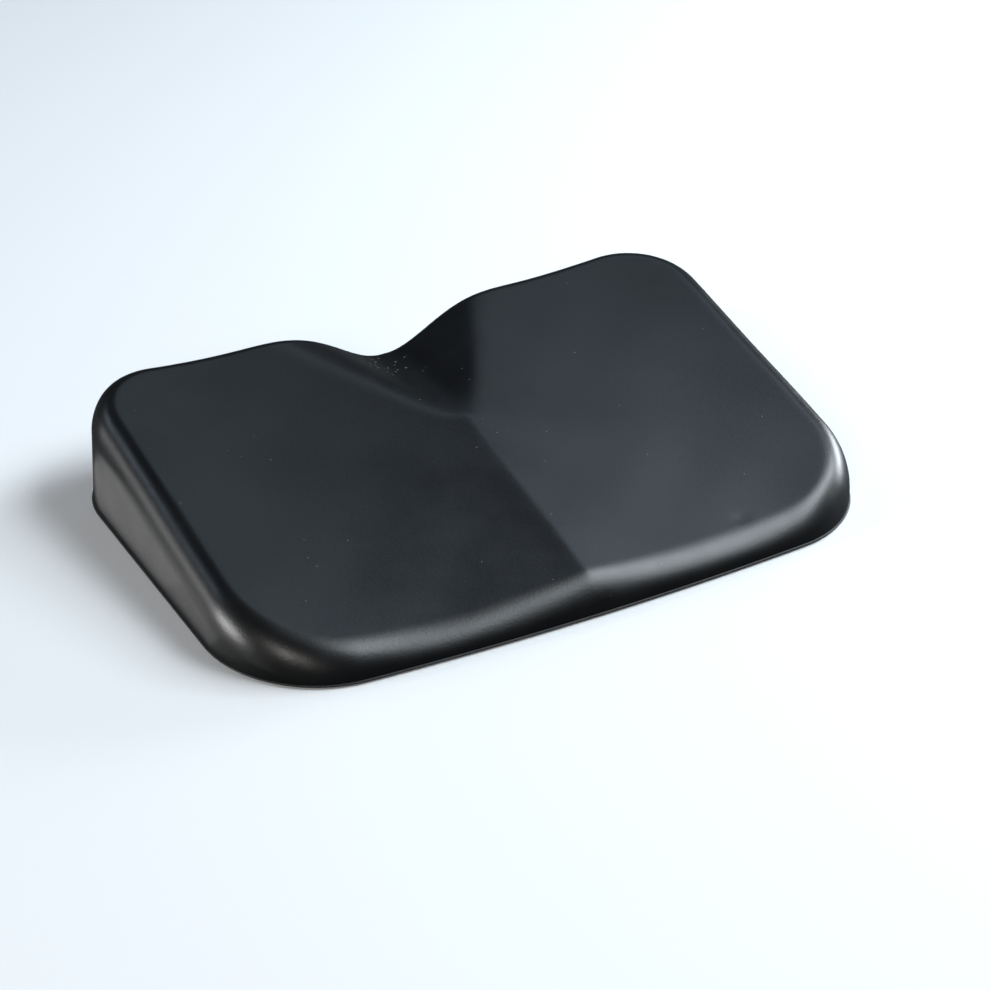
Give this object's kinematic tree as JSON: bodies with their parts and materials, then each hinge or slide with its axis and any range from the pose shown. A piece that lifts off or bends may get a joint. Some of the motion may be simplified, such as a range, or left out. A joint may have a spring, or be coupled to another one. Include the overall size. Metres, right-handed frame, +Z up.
{
  "type": "seat cushion",
  "caption": "Wedge seat cushion in self-skinned foam, with two shallow thigh bowls, a central ridge and a tailbone groove at the rear.",
  "frame": {"origin": "centre of the underside, on the surface that the cushion rests on", "axes": "+X across the width, +Y to the rear of the cushion, where the groove opens, +Z up"},
  "size_m": [0.394, 0.26, 0.0639],
  "materials": {
    "moulded_skin": "satin",
    "base_skin": "matte",
    "foam": "matte"
  },
  "bodies": {
    "root": {"upper_skin": "moulded_skin", "base_skin": "base_skin", "foam_core": "foam"}
  },
  "joints": []
}
